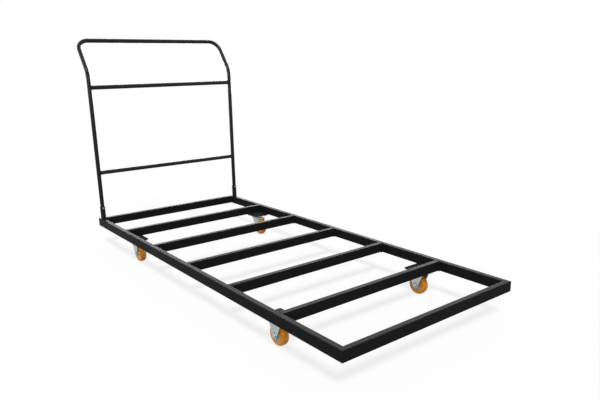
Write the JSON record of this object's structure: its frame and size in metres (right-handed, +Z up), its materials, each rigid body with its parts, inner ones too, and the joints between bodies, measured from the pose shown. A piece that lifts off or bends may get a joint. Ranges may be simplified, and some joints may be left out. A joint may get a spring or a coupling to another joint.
{
  "type": "banquet table trolley",
  "caption": "Low black tube-frame trolley for stacked banquet tables, with amber-tyred castors and a tall lift-out push handle",
  "frame": {"origin": "on the floor under the middle of the trolley's box, handle included", "axes": "+X to the right seen from the open end, +Y along the length towards the handle, +Z up"},
  "size_m": [0.803, 1.932, 1.024],
  "materials": {
    "powder_coat": "black satin powder coat",
    "zinc_plate": "bright zinc plate",
    "polyurethane": "smooth amber polyurethane",
    "hub_nylon": "moulded grey nylon"
  },
  "bodies": {
    "chassis": {"left_rail": "powder_coat", "right_rail": "powder_coat", "front_rail": "powder_coat", "rear_rail": "powder_coat", "slat_1": "powder_coat", "slat_2": "powder_coat", "slat_3": "powder_coat", "slat_4": "powder_coat", "slat_5": "powder_coat", "front_left_mount": "powder_coat", "front_right_mount": "powder_coat", "rear_left_mount": "powder_coat", "rear_right_mount": "powder_coat", "castor_screws": "zinc_plate", "front_left_fork": "zinc_plate", "front_left_bush": "zinc_plate", "front_left_axle": "zinc_plate", "front_left_nut": "zinc_plate", "front_right_fork": "zinc_plate", "front_right_bush": "zinc_plate", "front_right_axle": "zinc_plate", "front_right_nut": "zinc_plate", "rear_left_top_plate": "zinc_plate", "rear_left_balls": "zinc_plate", "rear_left_kingpin": "zinc_plate", "rear_right_top_plate": "zinc_plate", "rear_right_balls": "zinc_plate", "rear_right_kingpin": "zinc_plate", "socket_left": "powder_coat", "socket_right": "powder_coat", "socket_screws": "zinc_plate"},
    "handle": {"handle_tube": "powder_coat", "lower_rung": "powder_coat", "upper_rung": "powder_coat"},
    "front_left_wheel": {"front_left_hub": "hub_nylon", "front_left_tread": "polyurethane"},
    "front_right_wheel": {"front_right_hub": "hub_nylon", "front_right_tread": "polyurethane"},
    "rear_left_swivel": {"rear_left_fork": "zinc_plate", "rear_left_bush": "zinc_plate", "rear_left_axle": "zinc_plate", "rear_left_nut": "zinc_plate"},
    "rear_left_wheel": {"rear_left_hub": "hub_nylon", "rear_left_tread": "polyurethane"},
    "rear_right_swivel": {"rear_right_fork": "zinc_plate", "rear_right_bush": "zinc_plate", "rear_right_axle": "zinc_plate", "rear_right_nut": "zinc_plate"},
    "rear_right_wheel": {"rear_right_hub": "hub_nylon", "rear_right_tread": "polyurethane"}
  },
  "joints": [
    {"name": "front_left_wheel_roll", "type": "hinge", "parent": "chassis", "child": "front_left_wheel", "pos_m": [-0.344, -0.59767, 0.04], "axis": [1, 0, 0], "continuous": true},
    {"name": "front_right_wheel_roll", "type": "hinge", "parent": "chassis", "child": "front_right_wheel", "pos_m": [0.344, -0.59767, 0.04], "axis": [1, 0, 0], "continuous": true},
    {"name": "rear_left_swivel_turn", "type": "hinge", "parent": "chassis", "child": "rear_left_swivel", "pos_m": [-0.344, 0.54267, 0.095], "axis": [0, 0, 1], "continuous": true},
    {"name": "rear_left_wheel_roll", "type": "hinge", "parent": "rear_left_swivel", "child": "rear_left_wheel", "pos_m": [-0.344, 0.51467, 0.04], "axis": [1, 0, 0], "continuous": true},
    {"name": "rear_right_swivel_turn", "type": "hinge", "parent": "chassis", "child": "rear_right_swivel", "pos_m": [0.344, 0.54267, 0.095], "axis": [0, 0, 1], "continuous": true},
    {"name": "rear_right_wheel_roll", "type": "hinge", "parent": "rear_right_swivel", "child": "rear_right_wheel", "pos_m": [0.344, 0.51467, 0.04], "axis": [1, 0, 0], "continuous": true},
    {"name": "handle_lift", "type": "slide", "parent": "chassis", "child": "handle", "axis": [0, 0, 1], "range_m": [0, 0.069]}
  ]
}
